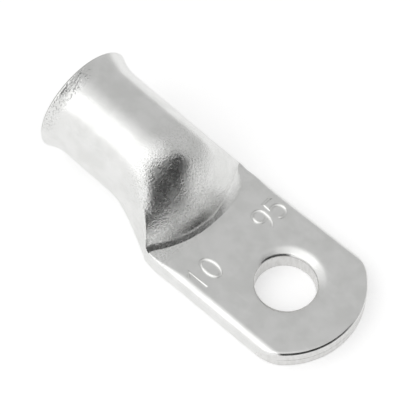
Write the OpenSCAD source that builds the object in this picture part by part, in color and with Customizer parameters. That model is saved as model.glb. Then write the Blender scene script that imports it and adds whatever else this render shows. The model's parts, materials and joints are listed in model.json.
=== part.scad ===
// Tubular cable lug with a bell mouth, pressed from one piece of tin-plated copper tube.
// The frame sits at the stud hole, on the underside of the flat tongue.
// +Z points up through the hole, +X to the rounded end and -X to the cable's side.

/* [Barrel] */
// Outer diameter of the tube
tube_d = 18; // [15:0.1:22]
// Wall thickness of the tube
wall = 2; // [1.4:0.1:2.6]
// Distance from the stud hole to the mouth, along the tongue
mouth_x = 47.6; // [42:0.1:70]
// Angle by which the barrel rises from the plane of the tongue
barrel_rise = 5; // [0:0.5:8]

/* [Bell mouth] */
// Distance by which the lip stands out from the tube all round
bell_flare = 1.1; // [0.2:0.1:2.5]
// Radius of the curve that opens the bell
bell_curve = 9; // [6:0.5:20]
// Rounding of the lip's outer edge
lip_round = 0.4; // [0.1:0.05:0.8]

/* [Neck] */
// Distance from the stud hole to the start of the neck
neck_x = 32; // [28:0.1:36]
// Distance from the stud hole to the corners where the tongue starts
corner_x = 20.8; // [19:0.1:24]
// Length over which the top of the tube bends down into the neck
crown_bend = 7.5; // [4:0.1:9]
// Length over which the sides of the tube bend out into the neck
side_bend = 2.5; // [1:0.1:5]
// Distance by which each folded edge is drawn in at the corners
corner_in = 0.4; // [0.1:0.1:0.8]
// Distance from the corners to where the folded edges reach their full width
fold_run = 4; // [1:0.1:5]
// Height of the pressed shoulder over the tongue
shoulder_h = 1; // [0.3:0.1:2]
// Distance by which the shoulder's wall leans out at its foot
shoulder_lean = 0.6; // [0:0.1:1.5]
// Radius of the shoulder's curved foot, seen from above
shoulder_r = 17.6; // [14:0.1:24]

/* [Tongue] */
// Width of the tongue
tongue_w = 25.2; // [20:0.1:28]
// Thickness of the tongue, which is two walls pressed together
tongue_t = 4; // [3:0.1:5.2]
// Distance from the stud hole to the tip of the tongue
tip_x = 13.4; // [11:0.1:20]
// Radius of the curved tip
tip_r = 14.2; // [13:0.1:25]
// Radius of the corners between the tip and the long sides
tip_corner_r = 8; // [2:0.1:9]

/* [Stud hole] */
// Diameter of the stud hole
stud_d = 10.5; // [6:0.1:13]
// Rounding of the hole's upper edge, drawn down by the punch
hole_round = 0.8; // [0.2:0.1:1.4]

/* [Hidden] */

tube_r = tube_d / 2;
bore_r = tube_r - wall;
bell_r = tube_r + bell_flare;
half_w = tongue_w / 2;
fold_r = tongue_t / 2;
// Distance from the middle line to the centre of each folded edge
fold_y = half_w - fold_r;
// Length of the barrel up to the rounding of its lip
barrel_len = (mouth_x - neck_x) / cos(barrel_rise) - lip_round;
bell_angle = acos(1 - bell_flare / bell_curve);
// Height of the barrel's axis where the neck starts: the tube's wall stands level with the
// underside of the tongue there
axis_z = tube_r;

// Small step that keeps joined surfaces from lying exactly on one another
seam = 0.02;
// Height left open where the two walls close on each other
slit = 0.2;
// Length by which one solid reaches into the next
lap = 1;
// The barrel starts this far along its axis, just past the neck's first ring
barrel_start = lap / 4;
// Angles on the tube's girth, counted up or down from its side. Above fold_high the wall
// turns into the shoulder, below fold_low into the underside, and the rest into the fold.
fold_high = 76;
fold_low = -50;
// Rings along the neck
rings = 10;
// Steps in a quarter of a rounded edge
steps = 8;

function arc(x, y, r, a, b, n) =
    [for (i = [0 : n]) let (t = a + (b - a) * i / n) [x + r * cos(t), y + r * sin(t)]];

// A point of the tube's end circle, turned with the barrel
function barrel_point(r, a) =
    [-neck_x, 0, axis_z] + r * [sin(a) * sin(barrel_rise), cos(a), sin(a) * cos(barrel_rise)];

// A step along the barrel's wall, towards the tongue
function down_barrel(d) = d * [cos(barrel_rise), 0, -sin(barrel_rise)];

// The shoulder's curved foot: its distance along X at a distance y from the middle line
function shoulder_x(y) =
    sqrt(pow(shoulder_r, 2) - y * y) - sqrt(pow(shoulder_r, 2) - fold_y * fold_y) - corner_x;

// The turn round the folded edge that the wall at the angle a makes: 90 over the shoulder
// and -90 under the tongue
function fold_turn(a) =
    let (up = asin(sin(a)))
    max(-90, min(90, up > 0 ? up * 90 / fold_high : -up * 90 / fold_low));

// The point of the neck's foot that the tube's wall reaches from the angle a. edge is the
// radius of the folded edge, inset the distance back from the foot, and rise the height of
// the foot over the tongue.
function foot_point(a, edge, inset, rise) =
    let (side = cos(a) < 0 ? -1 : 1, up = asin(sin(a)))
    up > fold_high ?
        let (share = (90 - up) / (90 - fold_high), y = side * fold_y * share)
        [shoulder_x(y) - inset, y, fold_r + edge + rise]
    : up < fold_low ?
        [-corner_x - inset, side * fold_y * (90 + up) / (90 + fold_low), fold_r - edge]
    :
        let (turn = fold_turn(a))
        [-corner_x - inset, side * min(fold_y + edge * cos(turn), half_w - corner_in - seam),
            fold_r + (edge + (up > 0 ? rise : 0)) * sin(turn)];

// Length of the bend at the angle a. The crown of the tube bends last.
function bend_length(a, inset) =
    side_bend + (crown_bend - side_bend - inset) * pow(max(0, sin(a)), 4);

// A curve that leaves p along the barrel's wall and runs straight into q
function neck_curve(p, q, bend, s) =
    let (c = p + down_barrel(bend), d = c + (q - c) / 3, t = 1 - s)
    t * t * t * p + 3 * t * t * s * c + 3 * t * s * s * d + s * s * s * q;

// Angles in even steps, without the last one
function between(a, b, n) = [for (i = [0 : n - 1]) a + (b - a) * i / n];
// The angles round the tube at which the neck's wall is drawn, closest over the shoulder
girth = [
    each between(fold_low, fold_high, 14),
    each between(fold_high, 180 - fold_high, 16),
    each between(180 - fold_high, 180 - fold_low, 14),
    each between(180 - fold_low, 360 + fold_low, 10)
];

// The neck's rings, a wall's thickness inside the outer surface when inner is true
function neck_rings(inner) =
    let (r = (inner ? bore_r : tube_r) - seam,
        edge = inner ? slit / 2 : fold_r - seam,
        inset = inner ? wall / 2 : 0,
        rise = inner ? 0 : shoulder_h)
    [
        [for (a = girth) barrel_point(r, a) - down_barrel(lap)],
        for (i = [0 : rings]) [for (a = girth)
            neck_curve(barrel_point(r, a), foot_point(a, edge, inset, rise),
                bend_length(a, inset), i / rings)]
    ];

// The last ring, inside the tongue. The shoulder's wall leans out on its way down to it, and
// the folded edges are drawn in.
function sunk_ring(ring) =
    let (down = fold_r / 2, lean = shoulder_lean * (shoulder_h + down) / shoulder_h)
    [for (i = [0 : len(ring) - 1])
        let (p = ring[i], turn = fold_turn(girth[i]), over = max(0, sin(turn)))
        [p[0] + lap + (lean - lap) * over, p[1] * (1 - cos(turn) * down / half_w),
            fold_r + down * sin(turn)]];

// A closed solid through rings of points, closed at each end on a middle point
module loft(loops, first, last) {
    n = len(loops[0]);
    points = [first, for (ring = loops) each ring, last];
    end = len(points) - 1;
    faces = [
        for (j = [0 : n - 1]) [0, 1 + j, 1 + (j + 1) % n],
        for (i = [0 : len(loops) - 2], j = [0 : n - 1], half = [0, 1])
            let (u = 1 + i * n, v = u + n, m = (j + 1) % n)
            half == 0 ? [u + j, v + j, v + m] : [u + j, v + m, u + m],
        for (j = [0 : n - 1]) let (u = end - n) [u + (j + 1) % n, u + j, end]
    ];
    polyhedron(points = points, faces = faces);
}

// Turns a solid drawn upwards so that it lies along the barrel
module along_barrel() {
    translate([-neck_x, 0, axis_z]) rotate([0, barrel_rise - 90, 0]) children();
}

// The curve of the bell's wall, from a straight wall at the radius r to the lip
function bell_line(r) =
    arc(r + bell_curve, barrel_len - bell_curve * sin(bell_angle), bell_curve,
        180, 180 - bell_angle, 2 * steps);

// The barrel as a solid of revolution, from the neck to the lip with its rounded edge
module barrel_outside() {
    lip = arc(bell_r - lip_round, barrel_len, lip_round, 90 / steps, 90, steps - 1);
    along_barrel() rotate_extrude($fn = 96)
        polygon([[0, barrel_start], [tube_r, barrel_start], each bell_line(tube_r), each lip,
            [0, barrel_len + lip_round]]);
}

module barrel_bore() {
    mouth_r = bell_r - wall;
    along_barrel() rotate_extrude($fn = 96)
        polygon([[0, barrel_start], [bore_r, barrel_start], each bell_line(bore_r),
            [mouth_r, barrel_len + lap], [0, barrel_len + lap]]);
}

module neck_outside() {
    loops = neck_rings(false);
    loft([each loops, sunk_ring(loops[rings + 1])],
        [-neck_x, 0, axis_z] - down_barrel(lap), [-corner_x + lap, 0, fold_r]);
}

module neck_hollow() {
    loft(neck_rings(true),
        [-neck_x, 0, axis_z] - down_barrel(lap), [-corner_x - wall / 2, 0, fold_r]);
}

// The tongue's edge in steps from the corner to its full width: along it and across
function edge_x(i) = fold_run * i / steps - corner_x;
function edge_y(i) = half_w - corner_in * pow(1 - i / steps, 2);

// The flat tongue: a bar with folded edges, cut to its rounded tip
module tongue() {
    start = corner_x + seam;
    corner_y = half_w - tip_corner_r;
    tip_cx = tip_x - tip_r;
    corner_cx = tip_cx + sqrt(pow(tip_r - tip_corner_r, 2) - corner_y * corner_y);
    join = atan2(corner_y, corner_cx - tip_cx);
    intersection() {
        translate([-start, 0, 0]) rotate([90, 0, 90]) linear_extrude(start + tip_x + lap)
            polygon([
                each arc(fold_y, fold_r, fold_r, -90, 90, 2 * steps),
                each arc(-fold_y, fold_r, fold_r, 90, 270, 2 * steps)
            ]);
        translate([0, 0, -lap]) linear_extrude(tongue_t + 2 * lap)
            polygon([
                [-start - lap, corner_in - half_w],
                each [for (i = [0 : steps]) [edge_x(i), -edge_y(i)]],
                each arc(corner_cx, -corner_y, tip_corner_r, -90, -join, steps),
                each arc(tip_cx, 0, tip_r, -join, join, 4 * steps),
                each arc(corner_cx, corner_y, tip_corner_r, join, 90, steps),
                each [for (i = [steps : -1 : 0]) [edge_x(i), edge_y(i)]],
                [-start - lap, half_w - corner_in]
            ]);
    }
}

module stud_hole() {
    stud_r = stud_d / 2;
    low = tongue_t - hole_round;
    translate([0, 0, -lap]) cylinder(h = low + lap + seam, d = stud_d, $fn = 96);
    rotate_extrude($fn = 96)
        polygon([
            [0, low],
            each arc(stud_r + hole_round, low, hole_round, 180, 90, steps),
            [stud_r + hole_round, tongue_t + lap],
            [0, tongue_t + lap]
        ]);
}

module lug() {
    color([0.80, 0.80, 0.79])
    difference() {
        union() {
            barrel_outside();
            neck_outside();
            tongue();
        }
        barrel_bore();
        neck_hollow();
        stud_hole();
    }
}

lug();
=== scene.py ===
import json
import math

import bpy
from mathutils import Matrix, Vector


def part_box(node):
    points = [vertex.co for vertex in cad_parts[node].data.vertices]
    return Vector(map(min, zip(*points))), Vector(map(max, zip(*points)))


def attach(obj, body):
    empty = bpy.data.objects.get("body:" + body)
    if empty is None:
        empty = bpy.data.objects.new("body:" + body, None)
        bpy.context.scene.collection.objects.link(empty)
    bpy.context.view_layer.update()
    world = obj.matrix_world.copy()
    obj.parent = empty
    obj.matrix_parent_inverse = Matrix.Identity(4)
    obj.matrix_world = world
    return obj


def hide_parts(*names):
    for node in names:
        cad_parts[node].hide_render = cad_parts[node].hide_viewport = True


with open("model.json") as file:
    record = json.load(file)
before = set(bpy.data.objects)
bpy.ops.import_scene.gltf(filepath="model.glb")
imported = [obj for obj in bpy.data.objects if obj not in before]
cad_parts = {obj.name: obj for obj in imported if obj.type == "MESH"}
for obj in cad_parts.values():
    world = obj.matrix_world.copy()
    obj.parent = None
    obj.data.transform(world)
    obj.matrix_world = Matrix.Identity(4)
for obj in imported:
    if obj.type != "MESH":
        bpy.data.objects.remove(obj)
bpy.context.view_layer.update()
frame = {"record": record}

# ---------------------------------------------------------------------------
# Camera: it looks down on the lug from beyond its tip, on the left. Left and right are as
# seen from the tip towards the mouth, so left is -y. Sizes are in millimetres unless said.
# ---------------------------------------------------------------------------
mm = 0.001
camera_azimuth = math.radians(43.167)
camera_elevation = math.radians(57.942)
camera_roll = math.radians(0.117)
camera_distance = 270.451 * mm
camera_target = Vector((-21.022, 3.374, 0)) * mm

camera_data = bpy.data.cameras.new("camera")
camera_data.sensor_width = 36
camera_data.lens = 135.27
camera_data.clip_start = 0.01
camera_data.clip_end = 10
camera = bpy.data.objects.new("camera", camera_data)
bpy.context.scene.collection.objects.link(camera)
bpy.context.scene.camera = camera
back = Vector((
    math.sin(camera_azimuth) * math.cos(camera_elevation),
    -math.cos(camera_azimuth) * math.cos(camera_elevation),
    math.sin(camera_elevation),
))
right = Vector((0, 0, 1)).cross(back).normalized()
up = back.cross(right)
camera_x = math.cos(camera_roll) * right + math.sin(camera_roll) * up
camera_y = -math.sin(camera_roll) * right + math.cos(camera_roll) * up
turn = Matrix((camera_x, camera_y, back)).transposed()
camera.matrix_world = Matrix.Translation(camera_target + camera_distance * back) @ turn.to_4x4()

# ---------------------------------------------------------------------------
# Wall of the lug: one length of tin-plated copper tube, opened into a bell at its mouth. From
# the neck on it is pressed flat, until its two halves lie on each other and make the tongue,
# and the tongue is cut to a rounded tip.
# ---------------------------------------------------------------------------
mounts = {mount["name"]: mount for mount in frame["record"]["mounts"]}
low, high = (Vector(corner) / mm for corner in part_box("lug"))

# the barrel: a round tube, straight from the neck to the bell
bore = mounts["cable_bore"]
axis = Vector(bore["axis"])
above = Vector((0, 1, 0)).cross(axis)
bore_r = bore["dims"]["r_mm"]
wall = 2.0
tube_r = bore_r + wall
neck_x = 32.0
neck = Vector((-neck_x, 0, tube_r))

# the bell: the wall curves out to the lip, which is rounded outside and inside
mouth_x = 47.6
bell_flare = 1.1
bell_r = tube_r + bell_flare
bell_curve = 9.0
lip_round = 0.4
inner_round = 0.25
barrel_len = (mouth_x - neck_x) / -axis.x - lip_round
bell_angle = math.acos(1 - (bell_r - tube_r) / bell_curve)
bell_start = barrel_len - bell_curve * math.sin(bell_angle)

# the tongue: two walls thick, drawn in a little at its corners with the neck, where its
# folded edges are also tighter; at full_x it has its full width and folds
tongue_t = (mounts["washer_face"]["pos_m"][2] - mounts["contact_face"]["pos_m"][2]) / mm
half_w = high.y
corner_x = 20.8
corner_in = 0.4
corner_run = 4.0
fold_r = tongue_t / 2
tight_fold = 0.7
fold_run = 9.0
full_x = 2.0

# the cut at the tip: two radii, a rounded edge and a fine seam between the halves
tip_r = 14.2
tip_corner_r = 8.0
cut_round = 0.32
cut_softness = 1.7
seam_h = 0.03
seam_depth = 0.05

# the shoulder: a curved step with a rounded top edge. It runs out straighter at its ends,
# stands higher on the right, and leans back, most on the right and least round the folds
shoulder_r = 17.6
end_limit = 1.11
end_power = 12
shoulder_h = 0.9
right_rise = 0.9
rise_from, rise_full, fade_from, fade_end = 1, 6, 7, 11
lean, right_lean, fold_lean = 0.8, 0.85, 0.3
lean_run = 9
step_round = 0.28

# the neck: how far past the barrel's end the wall runs on before it turns down, over the
# crown, at the sides and extra in the corners above the sides, and how softly it turns
crown_bend, side_bend, corner_bend = 7.5, 2.5, 1.8
bend_low, bend_high = -25, 0
corner_power = 3.7
right_share, left_share = 0.15, 0.64
share_from, share_run = 1.5, 8

# a low swell in the neck just above the step, left of its middle
foot_swell = 0.8
swell_y, swell_w, swell_run = -2.2, 3.0, 2.0

# the hollow inside the neck ends before the step, is narrower than the neck and turns down
# sooner over the crown
hollow_short = 1.0
hollow_share = 0.9
hollow_bend = 1.0

# the parts of the tube's girth that go into the folds, in degrees above its middle
fold_high, fold_low = 30, -32


def ease(t):
    """From 0 to 1, with a soft start and end."""
    t = min(1, max(0, t))
    return t * t * (3 - 2 * t)


def part_way(first, last, s):
    """From the first number to the last, as s goes from 0 to 1."""
    return first + (last - first) * s


def edge_y(x):
    """Half the tongue's width at x."""
    s = min(1, max(0, (x + corner_x) / corner_run))
    return half_w - corner_in * (1 - s) ** 2


def fold_reach(x):
    """How far the folded edge is rounded across at x: tight at the corners, full later."""
    return tight_fold + (fold_r - tight_fold) * ease((x + corner_x) / fold_run)


def tip_x(y):
    """Where the rounded tip is cut at y."""
    y = abs(y)
    corner_y = half_w - tip_corner_r
    centre = high.x - tip_r
    corner_centre = centre + math.sqrt((tip_r - tip_corner_r) ** 2 - corner_y ** 2)
    join = math.atan2(corner_y, corner_centre - centre)
    if y < tip_r * math.sin(join):
        return centre + math.sqrt(tip_r ** 2 - y * y)
    return corner_centre + math.sqrt(max(0, tip_corner_r ** 2 - (y - corner_y) ** 2))


def way_in(y):
    """The level way into the metal from the tip's cut at y, square to the cut."""
    d = 0.01
    side_slope = 8
    if abs(y) < half_w - 2 * d:
        slope = (tip_x(y + d) - tip_x(y - d)) / (2 * d)
    else:
        slope = -side_slope if y > 0 else side_slope
    length = math.hypot(1, slope)
    return Vector((-1 / length, slope / length, 0))


def shoulder_x(y):
    """The curved foot of the pressed shoulder at y; its two ends run out straighter."""
    drop = shoulder_r - math.sqrt(shoulder_r ** 2 - y * y)
    full = shoulder_r - math.sqrt(shoulder_r ** 2 - (half_w - fold_r) ** 2)
    if drop > 0:
        drop = (drop ** -end_power + (full * end_limit) ** -end_power) ** (-1 / end_power)
    return full - corner_x - drop


def shoulder_rise(y):
    """The height of the shoulder's step at y."""
    rise = ease((y - rise_from) / (rise_full - rise_from))
    fade = ease((y - fade_from) / (fade_end - fade_from))
    return shoulder_h + right_rise * rise * (1 - fade)


def on_tube(r, angle):
    """A point of the barrel's end, at a turn from the right-hand side up."""
    return neck + r * (math.cos(angle) * Vector((0, 1, 0)) + math.sin(angle) * above)


def bend_at(angle, less=0):
    """How far the wall runs on past the barrel's end before it turns down."""
    up = math.degrees(math.asin(math.sin(angle)))
    top = crown_bend - less + corner_bend * (1 - max(0, up) / 90) ** corner_power
    return side_bend + (top - side_bend) * ease((up - bend_low) / (bend_high - bend_low))


def neck_line(start, foot, bend, s):
    """From the tube's end, s = 0, along its wall and down to the foot, s = 1."""
    bent = start - axis * bend
    share = right_share + (left_share - right_share) * ease((share_from - foot.y) / share_run)
    near = bent + (foot - bent) * share
    t = 1 - s
    point = t ** 3 * start + 3 * t * t * s * bent + 3 * t * s * s * near + s ** 3 * foot
    if foot.z > tongue_t:
        gap = (point - foot).length
        off = (foot.y - swell_y) / swell_w
        point.z += foot_swell * gap * math.exp(-gap / swell_run - off ** 2)
    return point


def tongue_point(part, place, x):
    """A point of the tongue's skin: its place across, or the turn round a fold."""
    reach = fold_reach(x)
    flat = edge_y(x) - reach
    if part == "over":
        return Vector((x, flat * place, tongue_t))
    if part == "under":
        return Vector((x, flat * place, 0))
    side = 1 if part == "right" else -1
    return Vector((x, side * (flat + reach * math.cos(place)), fold_r + fold_r * math.sin(place)))


# how far out the step reaches before the folds begin
step_end_y = tongue_point("over", 1, -corner_x).y


def tip_cut(part, place):
    """Up the cut at the tip, from the seam between the halves to the cut's rounded edge."""
    end = tongue_point(part, place, full_x)
    edge = Vector((tip_x(end.y), end.y, 0))
    inward = way_in(end.y)
    height = abs(end.z - fold_r)
    side = 0 if height < 1e-6 else math.copysign(1, end.z - fold_r)
    rounding = min(cut_round, height * 0.5)
    seam = min(seam_h, height * 0.25)
    reach = rounding / max(0.4, -inward.x)
    if part in ("left", "right"):
        reach *= math.sin(place) ** 2
    line = []
    for depth, level in ((seam_depth, 0), (seam_depth / 5, seam * 0.6), (0, seam)):
        line.append(edge + inward * depth + Vector((0, 0, fold_r + side * level)))
    for k in range(1, 5):
        level = seam + (height - rounding - seam) * k / 4
        line.append(edge + Vector((0, 0, fold_r + side * level)))
    for k in range(1, 6):
        t = math.pi / 2 * k / 5
        back_by = reach * (1 - math.cos(t) ** cut_softness)
        level = height - rounding + rounding * math.sin(t) ** cut_softness
        line.append(edge + Vector((-back_by, 0, fold_r + side * level)))
    return line


def tongue_run(part, place, first, last):
    """Along the tongue, in steps that get finer towards the shoulder."""
    steps = 64
    shares = [1 - (1 - k / steps) ** 1.5 for k in range(1, steps + 1)]
    return [tongue_point(part, place, part_way(first, last, share)) for share in shares]


def shoulder_and_neck(bottom, foot, start, bend):
    """Up the step's wall, round its top edge and up the neck to the end of the barrel."""
    steep = foot - bottom
    onward = (neck_line(start, foot, bend, 0.97) - foot).normalized()
    soft = min(step_round, steep.length * 0.4)
    line = [bottom + steep * (1 - soft / steep.length) * k / 5 for k in range(1, 6)]
    below, beyond = line[-1], foot + onward * soft
    for k in range(1, 7):
        t = k / 7
        line.append((1 - t) ** 2 * below + 2 * t * (1 - t) * foot + t * t * beyond)
    line.append(beyond)
    steps = 56
    first = 1 - soft / (foot - start).length * 1.2
    line += [neck_line(start, foot, bend, first * (1 - k / steps)) for k in range(1, steps + 1)]
    return line


def barrel_and_bell(out):
    """Along the barrel, out over the bell, round its lip and back in through the bore."""
    line = [neck + axis * bell_start * k / 8 + out * tube_r for k in range(1, 9)]

    def add(along, r):
        line.append(neck + axis * along + out * r)

    for k in range(1, 25):
        t = bell_angle * k / 24
        add(bell_start + bell_curve * math.sin(t), tube_r + bell_curve * (1 - math.cos(t)))
    for k in range(1, 9):
        t = math.pi / 2 * k / 8
        add(barrel_len + lip_round * math.sin(t), bell_r - lip_round + lip_round * math.cos(t))
    lip = barrel_len + lip_round
    add(lip, bell_r - wall / 2)
    for k in range(0, 5):
        t = math.pi / 2 * k / 4
        add(lip - inner_round * (1 - math.cos(t)), bell_r - wall + inner_round * (1 - math.sin(t)))
    for k in range(1, 13):
        t = bell_angle * (1 - k / 12)
        add(bell_start + bell_curve * math.sin(t), bore_r + bell_curve * (1 - math.cos(t)))
    line += [neck + axis * bell_start * (1 - k / 4) + out * bore_r for k in range(1, 5)]
    return line


def hollow(part, place, angle):
    """Down the hollow inside the neck, until the two halves close on each other."""
    corner = tongue_point(part, place, -corner_x)
    end_x = shoulder_x(min(abs(corner.y), step_end_y)) - hollow_short
    end = Vector((end_x, corner.y * hollow_share, fold_r))
    bend = bend_at(angle, less=hollow_bend)
    return [neck_line(on_tube(bore_r, angle), end, bend, k / 20) for k in range(1, 21)]


def column_line(part, place, angle):
    """All points of one column, from the seam at the tip to the end of the neck's hollow."""
    angle = math.radians(angle)
    line = tip_cut(part, place)
    # the column's share of the shoulder: all of it on top, none underneath, some in the folds
    over = 1 if part == "over" else 0 if part == "under" else max(0, math.sin(place))
    y = tongue_point(part, place, -corner_x).y
    foot_x = shoulder_x(y if part == "over" else step_end_y)
    bottom_x = foot_x + (lean + right_lean * ease(y / lean_run)) * over + fold_lean * (1 - over)
    line += tongue_run(part, place, line[-1].x, bottom_x)
    bottom = tongue_point(part, place, bottom_x)
    foot = tongue_point(part, place, foot_x)
    foot.z += shoulder_rise(y) * over
    start = on_tube(tube_r, angle)
    line += shoulder_and_neck(bottom, foot, start, bend_at(angle))
    line += barrel_and_bell((start - neck).normalized())
    line += hollow(part, place, angle)
    return line


# The girth of the tube in columns: over the shoulder, down the left fold, back under the
# tongue and up the right fold. Top and underside have the same places across. Each part has
# its number of columns, the unit of their places, and its first and last place and turn.
flat_columns, fold_columns = 56, 48
girth = [
    ("over", flat_columns, 1, (1, -1), (fold_high, 180 - fold_high)),
    ("left", fold_columns, math.pi, (0.5, -0.5), (180 - fold_high, 180 - fold_low)),
    ("under", flat_columns, 1, (-1, 1), (180 - fold_low, 360 + fold_low)),
    ("right", fold_columns, math.pi, (-0.5, 0.5), (360 + fold_low, 360 + fold_high)),
]
columns = []
for part, count, unit, place_ends, turn_ends in girth:
    for i in range(count):
        place = unit * part_way(*place_ends, i / count)
        columns.append((part, place, part_way(*turn_ends, i / count)))
columns.append(("right", math.pi / 2, 360 + fold_high))


def select_only(piece):
    """Leaves one piece selected and active."""
    bpy.ops.object.select_all(action="DESELECT")
    piece.select_set(True)
    bpy.context.view_layer.objects.active = piece


def close_skin():
    """Merges what lies on itself in the active piece and turns its faces outwards."""
    bpy.ops.object.mode_set(mode="EDIT")
    bpy.ops.mesh.select_all(action="SELECT")
    bpy.ops.mesh.remove_doubles(threshold=1e-7)
    bpy.ops.mesh.normals_make_consistent(inside=False)
    bpy.ops.object.mode_set(mode="OBJECT")


lines = [column_line(*column) for column in columns]
rows = len(lines[0])
bpy.ops.object.select_all(action="DESELECT")
bpy.ops.mesh.primitive_grid_add(x_subdivisions=len(lines) - 1, y_subdivisions=rows - 1, size=1)
lug = bpy.context.object
lug.name = lug.data.name = "lug_wall"
for row in range(rows):
    for column, line in enumerate(lines):
        lug.data.vertices[row * len(lines) + column].co = line[row] * mm
close_skin()


def cut_with(tool):
    """Cuts the tool's shape out of the lug and throws the tool away."""
    select_only(lug)
    cut = lug.modifiers.new("cut", "BOOLEAN")
    cut.operation = "DIFFERENCE"
    cut.solver = "MANIFOLD"
    cut.object = tool
    bpy.ops.object.modifier_apply(modifier=cut.name)
    bpy.data.objects.remove(tool)


# The stud hole is punched through from above: the punch draws the edge down into a soft
# rounding and leaves a shallow dish round it, which lies a little to the right of the hole.
stud_r = mounts["stud_hole"]["dims"]["r_mm"]
dish = [(0, -1.1), (0.01, -0.95), (0.05, -0.80), (0.12, -0.68), (0.22, -0.58), (0.38, -0.48),
        (0.58, -0.37), (0.78, -0.26), (0.95, -0.175), (1.10, -0.115), (1.25, -0.075),
        (1.45, -0.042), (1.85, -0.015), (2.35, 0.004), (2.4, 1)]
dish_shift = Vector((-0.05, 0.42, 0))
dish_depth = 1.0
punch_past = 1.0
profile = [(0, -punch_past), (stud_r, -punch_past)]
profile += [(stud_r + out, tongue_t + drop) for out, drop in dish]
profile += [(0, tongue_t + punch_past)]
bpy.ops.object.select_all(action="DESELECT")
bpy.ops.mesh.primitive_circle_add(vertices=len(profile), radius=1, fill_type="NOTHING")
punch = bpy.context.object
for vertex, (r, z) in zip(punch.data.vertices, profile):
    vertex.co = Vector((r, 0, z)) * mm
bpy.ops.object.mode_set(mode="EDIT")
bpy.ops.mesh.select_mode(type="EDGE")
bpy.ops.mesh.select_all(action="DESELECT")
bpy.ops.object.mode_set(mode="OBJECT")
for edge in punch.data.edges:
    edge.select = set(edge.vertices) == {0, len(profile) - 1}
bpy.ops.object.mode_set(mode="EDIT")
bpy.ops.mesh.delete(type="EDGE")
bpy.ops.mesh.select_all(action="SELECT")
bpy.ops.mesh.spin(steps=128, angle=2 * math.pi, center=(0, 0, 0), axis=(0, 0, 1))
close_skin()
for vertex in punch.data.vertices:
    drawn_in = min(1, max(0, vertex.co.z / mm - tongue_t + dish_depth))
    vertex.co += dish_shift * mm * drawn_in
cut_with(punch)

# The size stamps, stud size and cable size, are round-nosed strokes struck into the tongue,
# with their tops towards the barrel.
stroke_r = 0.34
stroke_up = 0.04
digit_step = 3.1
stamp_x = -10.8
left_stamp_y, right_stamp_y = -8.3, 7.8


def arc(cx, cy, rx, ry, first, last, steps=20):
    """Points of a stroke round part of an oval, from one turn to another in degrees."""
    turns = [math.radians(first + (last - first) * k / steps) for k in range(steps + 1)]
    return [(cx + rx * math.cos(t), cy + ry * math.sin(t)) for t in turns]


digits = {
    "1": [[(-0.75, 1.35), (0.1, 2.05), (0.1, -2.05)]],
    "0": [arc(0, 0, 1.15, 2.05, 0, 360, 32)],
    "9": [arc(0, 0.85, 1.15, 1.2, 0, 360, 28), arc(-0.35, 0.85, 1.5, 2.9, 0, -82)],
    "5": [[(1.05, 2.05), (-0.85, 2.05), (-1.0, 0.35)] + arc(-0.05, -0.75, 1.2, 1.3, 128, -140)],
}


def stroke_tool(stroke, x, y):
    """A rod along one stroke of a digit whose middle is at x, y on the tongue."""
    line = bpy.data.curves.new("stroke", "CURVE")
    line.dimensions = "3D"
    line.bevel_depth = stroke_r * mm
    line.bevel_resolution = 2
    line.use_fill_caps = True
    closed = math.dist(stroke[0], stroke[-1]) < 1e-6
    points = stroke[:-1] if closed else stroke
    spline = line.splines.new("POLY")
    spline.points.add(len(points) - 1)
    spline.use_cyclic_u = closed
    z = tongue_t + stroke_up
    for point, (across_by, up_by) in zip(spline.points, points):
        point.co = ((x - up_by) * mm, (y + across_by) * mm, z * mm, 1)
    tool = bpy.data.objects.new("stroke", line)
    bpy.context.scene.collection.objects.link(tool)
    select_only(tool)
    bpy.ops.object.convert(target="MESH")
    close_skin()
    return bpy.context.object


def strike(figures, x, y):
    """Strikes a size into the tongue."""
    for place, digit in enumerate(figures):
        shift = (place - (len(figures) - 1) / 2) * digit_step
        for stroke in digits[digit]:
            cut_with(stroke_tool(stroke, x, y + shift))


strike("10", stamp_x, left_stamp_y)
strike("95", stamp_x, right_stamp_y)

select_only(lug)
bpy.ops.object.shade_smooth_by_angle(angle=math.radians(35))
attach(lug, "root")
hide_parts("lug")

# Two finishes: the tin plate, a soft shine with fine grain where the neck was drawn, and the
# duller metal of the cuts through the hole and round the tip.


def new_node(tree, kind, **values):
    """A node with some of its inputs or settings given."""
    node = tree.nodes.new("ShaderNode" + kind)
    for name, value in values.items():
        if name in node.inputs:
            node.inputs[name].default_value = value
        else:
            setattr(node, name, value)
    return node


def number(tree, operation, a, b):
    """One step of arithmetic on two values or outputs of nodes."""
    node = new_node(tree, "Math", operation=operation)
    for socket, value in zip(node.inputs, (a, b)):
        if isinstance(value, (int, float)):
            socket.default_value = value
        else:
            tree.links.new(value, socket)
    return node.outputs["Value"]


def times(tree, a, b):
    """The product of two values or outputs of nodes."""
    return number(tree, "MULTIPLY", a, b)


def added(tree, base, pattern, amount):
    """The base and an amount of a pattern; a negative amount takes away."""
    return number(tree, "ADD", base, times(tree, pattern, amount))


def along_way(tree, place, way):
    """How far a place lies along a way."""
    node = new_node(tree, "VectorMath", operation="DOT_PRODUCT")
    tree.links.new(place, node.inputs[0])
    node.inputs[1].default_value = way
    return node.outputs["Value"]


def between(tree, value, low_end, high_end):
    """0 below the low end, 1 above the high end, smooth between them."""
    node = new_node(tree, "MapRange", interpolation_type="SMOOTHSTEP")
    tree.links.new(value, node.inputs["Value"])
    node.inputs["From Min"].default_value = low_end
    node.inputs["From Max"].default_value = high_end
    return node.outputs["Result"]


def grain(tree, where, size, detail, stretch=(1, 1, 1)):
    """Noise with grains of about one size, in millimetres."""
    scaled = new_node(tree, "Mapping", Scale=[1 / (size * mm * part) for part in stretch])
    tree.links.new(where, scaled.inputs["Vector"])
    noise = new_node(tree, "TexNoise", Scale=1, Detail=detail)
    tree.links.new(scaled.outputs["Vector"], noise.inputs["Vector"])
    return noise.outputs["Fac"]


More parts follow.
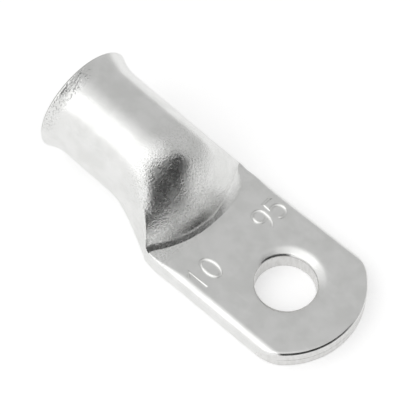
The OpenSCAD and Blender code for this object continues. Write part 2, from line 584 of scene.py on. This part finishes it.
def shade(tree, amount, first, second):
    """A colour from the first shade to the second, and past it if the amount is over 1."""
    mix = new_node(tree, "Mix", data_type="RGBA", clamp_factor=False)
    tree.links.new(amount, mix.inputs["Factor"])
    mix.inputs["A"].default_value = (*first, 1)
    mix.inputs["B"].default_value = (*second, 1)
    return mix.outputs["Result"]


def new_finish(name, colour, roughness, metallic):
    """A new material with its tree of nodes and its shader."""
    material = bpy.data.materials.new(name)
    material.use_nodes = True
    shader = material.node_tree.nodes["Principled BSDF"]
    shader.inputs["Base Color"].default_value = (*colour, 1)
    shader.inputs["Metallic"].default_value = metallic
    shader.inputs["Roughness"].default_value = roughness
    return material, material.node_tree, shader


def surface(tree, shader, colour, roughness, relief):
    """Gives the shader its colour, its roughness and its relief, which is in millimetres."""
    bump = new_node(tree, "Bump", Strength=1.0, Distance=mm)
    tree.links.new(relief, bump.inputs["Height"])
    tree.links.new(colour, shader.inputs["Base Color"])
    tree.links.new(roughness, shader.inputs["Roughness"])
    tree.links.new(bump.outputs["Normal"], shader.inputs["Normal"])


# the tin plate: its masks are the rim, the tooled stretch behind the mouth on the left, and
# the drawn neck, fainter on the right, and fainter where its flank faces sideways towards the
# lamp, which is a painted highlight there
tin, tree, shader = new_finish("tinned_copper", (0.80, 0.80, 0.79), 0.25, 1)
places = new_node(tree, "TexCoord")
where = places.outputs["Object"]
faces_to = new_node(tree, "SeparateXYZ")
tree.links.new(places.outputs["Normal"], faces_to.inputs["Vector"])
axes = new_node(tree, "SeparateXYZ")
tree.links.new(where, axes.inputs["Vector"])
at_x, at_y, at_z = axes.outputs
from_neck = number(tree, "SUBTRACT", along_way(tree, where, axis), neck.dot(axis) * mm)
rim = between(tree, from_neck, (barrel_len + 0.05) * mm, (barrel_len + 0.3) * mm)
mouth = between(tree, from_neck, (barrel_len - 2.6) * mm, (barrel_len - 1.2) * mm)
mouth = times(tree, mouth, between(tree, at_y, 2.5 * mm, -2.0 * mm))
mouth = times(tree, mouth, between(tree, at_z, 10.5 * mm, 13.5 * mm))
drawn_and_painted_highlight = times(tree, between(tree, at_x, -31.0 * mm, -26.2 * mm),
              between(tree, at_x, -15.0 * mm, -18.5 * mm))
drawn_and_painted_highlight = times(tree, drawn_and_painted_highlight, added(tree, 0.3, between(tree, at_y, 7 * mm, 0), 0.7))
# painted highlight: fewer dark grain specks where the neck's flank faces the lamp's side, so that
# side reads lighter
painted_highlight_fade = between(tree, faces_to.outputs["Y"], -0.90, -0.62)
drawn_and_painted_highlight = times(tree, drawn_and_painted_highlight, added(tree, 0.35, painted_highlight_fade, 0.65))

# its patterns: cloudy plate, uneven shine, grain, tool dents, scratches both ways and waves
clouds = between(tree, grain(tree, where, size=3.2, detail=4.0), 0.32, 0.68)
patches = grain(tree, where, size=1.4, detail=3.0)
fine = grain(tree, where, size=0.24, detail=2.5)
coarse = between(tree, grain(tree, where, size=0.36, detail=1.0), 0.45, 0.62)
dents = between(tree, grain(tree, where, size=0.4, detail=2.0, stretch=(1, 2, 1)), 0.48, 0.62)
dents = times(tree, mouth, dents)
lengthways = grain(tree, where, size=0.22, detail=1.0, stretch=(30, 1, 1))
crossways = grain(tree, where, size=0.25, detail=1.0, stretch=(1, 26, 1))
waves = grain(tree, where, size=2.4, detail=1.0)

# greyer in the clouds, in the grain where the neck was drawn, and most at the rim; the grain is
# kept off the flank that faces the lamp, a painted highlight
bright_plate, grey_plate = (0.84, 0.84, 0.83), (0.66, 0.665, 0.645)
cloud_grey, grain_grey, rim_grey = 0.35, 0.9, 2.2
# the dark grain specks are real grain, but they are thinned on the lamp-facing flank as a painted
# highlight
grain_specks_and_painted_highlight = times(tree, between(tree, fine, 0.50, 0.36), drawn_and_painted_highlight)
dull = added(tree, times(tree, clouds, cloud_grey), grain_specks_and_painted_highlight, grain_grey)
colour = shade(tree, added(tree, dull, rim, rim_grey), bright_plate, grey_plate)

plate_rough, patch_rough, drawn_rough = 0.17, 0.12, 0.04
roughness = added(tree, plate_rough, patches, patch_rough)
roughness = added(tree, roughness, drawn_and_painted_highlight, drawn_rough)

plate_relief, drawn_relief, coarse_relief = 0.008, 0.018, 0.011
scratch_depth, wave_height, dent_depth = 0.005, 0.03, 0.06
relief = times(tree, fine, added(tree, plate_relief, drawn_and_painted_highlight, drawn_relief))
relief = added(tree, relief, coarse, times(tree, drawn_and_painted_highlight, coarse_relief))
relief = added(tree, relief, between(tree, lengthways, 0.66, 0.74), -scratch_depth)
relief = added(tree, relief, between(tree, crossways, 0.70, 0.78), -scratch_depth)
relief = added(tree, relief, waves, wave_height)
relief = added(tree, relief, dents, -dent_depth)
surface(tree, shader, colour, roughness, relief)

# the cut metal: upright tears left by the shear and the punch, and dull patches
shear_rough, tear_rough, tear_depth = 0.34, 0.12, 0.003
bright_cut, dull_cut = (0.80, 0.795, 0.785), (0.73, 0.725, 0.71)
cut_metal, tree, shader = new_finish("cut_edge", (0.66, 0.655, 0.64), 0.5, 1)
where = new_node(tree, "TexCoord").outputs["Object"]
tears = grain(tree, where, size=0.16, detail=2.0, stretch=(1, 1, 9))
patches = grain(tree, where, size=0.5, detail=3.0, stretch=(1, 1, 4))
colour = shade(tree, between(tree, patches, 0.35, 0.7), bright_cut, dull_cut)
roughness = added(tree, shear_rough, tears, tear_rough)
surface(tree, shader, colour, roughness, times(tree, tears, tear_depth))

lug.data.materials.clear()
lug.data.materials.append(tin)
lug.data.materials.append(cut_metal)
hole_margin, side_margin, tip_margin = 0.05, 0.1, 0.03
upright = 0.3
for face in lug.data.polygons:
    x, y = face.center.xy / mm
    in_hole = math.hypot(x, y) < stud_r + hole_margin
    at_tip = x > 0 and abs(y) < half_w - side_margin and x > tip_x(y) - tip_margin
    if abs(face.normal.z) < upright and (in_hole or at_tip):
        face.material_index = 1

# ---------------------------------------------------------------------------
# White paper under and behind the lug. A glow of its own keeps it bright for the camera and
# in the metal, and the lug's soft shadow still falls on it.
# ---------------------------------------------------------------------------
paper_size = 3.0
paper_gap = 0.02
camera_glow = 0.40
metal_glow = 0.32
bpy.ops.object.select_all(action="DESELECT")
bpy.ops.mesh.primitive_plane_add(size=paper_size, location=(0, 0, (low.z - paper_gap) * mm))
floor = bpy.context.object
floor.name = floor.data.name = "floor"
bpy.ops.object.transform_apply(location=True, rotation=False, scale=False)


def matt(name, grey):
    """A grey without any shine."""
    material, tree, shader = new_finish(name, (grey, grey, grey), 1, 0)
    shader.inputs["Specular IOR Level"].default_value = 0
    return material, tree, shader


paper, tree, shader = matt("white_paper", 0.8)
path = new_node(tree, "LightPath")
mirrored = number(tree, "MAXIMUM", path.outputs["Is Glossy Ray"],
                  path.outputs["Is Transmission Ray"])
level = added(tree, times(tree, path.outputs["Is Camera Ray"], camera_glow), mirrored, metal_glow)
glow = new_node(tree, "Emission", Color=(1, 1, 1, 1))
tree.links.new(level, glow.inputs["Strength"])
both = new_node(tree, "AddShader")
tree.links.new(shader.outputs["BSDF"], both.inputs[0])
tree.links.new(glow.outputs["Emission"], both.inputs[1])
tree.links.new(both.outputs["Shader"], tree.nodes["Material Output"].inputs["Surface"])
floor.data.materials.append(paper)

# ---------------------------------------------------------------------------
# Studio: the room is a bright tent on the lug's left and light grey elsewhere, with one soft
# lamp on the same side. A black flag stands beyond the tip. The camera sees white behind.
# ---------------------------------------------------------------------------


def direction(azimuth, elevation):
    """A way from the lug, from degrees round from +x and up from the floor."""
    azimuth, elevation = math.radians(azimuth), math.radians(elevation)
    return Vector((math.cos(azimuth) * math.cos(elevation),
                   math.sin(azimuth) * math.cos(elevation), math.sin(elevation)))


tent_way = direction(-98, 35)
tent_edge, tent_full = math.radians(75), math.radians(40)
world = bpy.data.worlds.new("studio")
bpy.context.scene.world = world
world.use_nodes = True
tree = world.node_tree
room = tree.nodes["Background"]
facing = along_way(tree, new_node(tree, "TexCoord").outputs["Generated"], tent_way)
tent = between(tree, facing, math.cos(tent_edge), math.cos(tent_full))
tree.links.new(shade(tree, tent, (0.60, 0.60, 0.60), (1.0, 1.0, 1.0)), room.inputs["Color"])
backdrop = new_node(tree, "Background", Color=(1, 1, 1, 1))
either = new_node(tree, "MixShader")
tree.links.new(new_node(tree, "LightPath").outputs["Is Camera Ray"], either.inputs["Fac"])
tree.links.new(room.outputs["Background"], either.inputs[1])
tree.links.new(backdrop.outputs["Background"], either.inputs[2])
tree.links.new(either.outputs["Shader"], tree.nodes["World Output"].inputs["Surface"])

lamp_aim = Vector((-20, 0, 0)) * mm


def soft_lamp(name, way, distance, width, height, brightness):
    """A soft lamp, placed along a way from the lug and aimed at it; sizes in metres."""
    data = bpy.data.lights.new(name, "AREA")
    data.shape = "RECTANGLE"
    data.size, data.size_y = width, height
    data.energy = brightness * math.pi * width * height
    lamp = bpy.data.objects.new(name, data)
    bpy.context.scene.collection.objects.link(lamp)
    lamp.location = lamp_aim + way * distance
    lamp.rotation_euler = (-way).to_track_quat("-Z", "Y").to_euler()


soft_lamp("key", direction(-104, 52), distance=0.6, width=0.6, height=0.5, brightness=0.35)

# the black flag, which only the metal sees; its lower edge slants, and sizes are in metres
flag_distance, flag_width, flag_high = 0.35, 0.62, 0.50
flag_low, flag_slant = 0.05, 0.13
flag_turn = Matrix.Rotation(math.radians(-12), 3, "Z")
flag_shift = 0.022
bpy.ops.object.select_all(action="DESELECT")
bpy.ops.mesh.primitive_plane_add(size=1)
flag = bpy.context.object
flag.name = flag.data.name = "flag"
for vertex in flag.data.vertices:
    place, upper = vertex.co.x, vertex.co.y > 0
    height = flag_high if upper else flag_low + place * flag_slant
    vertex.co = Vector((flag_distance, place * flag_width, height))
    vertex.co.rotate(flag_turn)
    vertex.co.x -= flag_shift
flag.visible_camera = False
flag.visible_diffuse = False
flag.visible_shadow = False
flag.data.materials.append(matt("black_felt", 0.03)[0])

bpy.context.scene.view_settings.view_transform = "Standard"
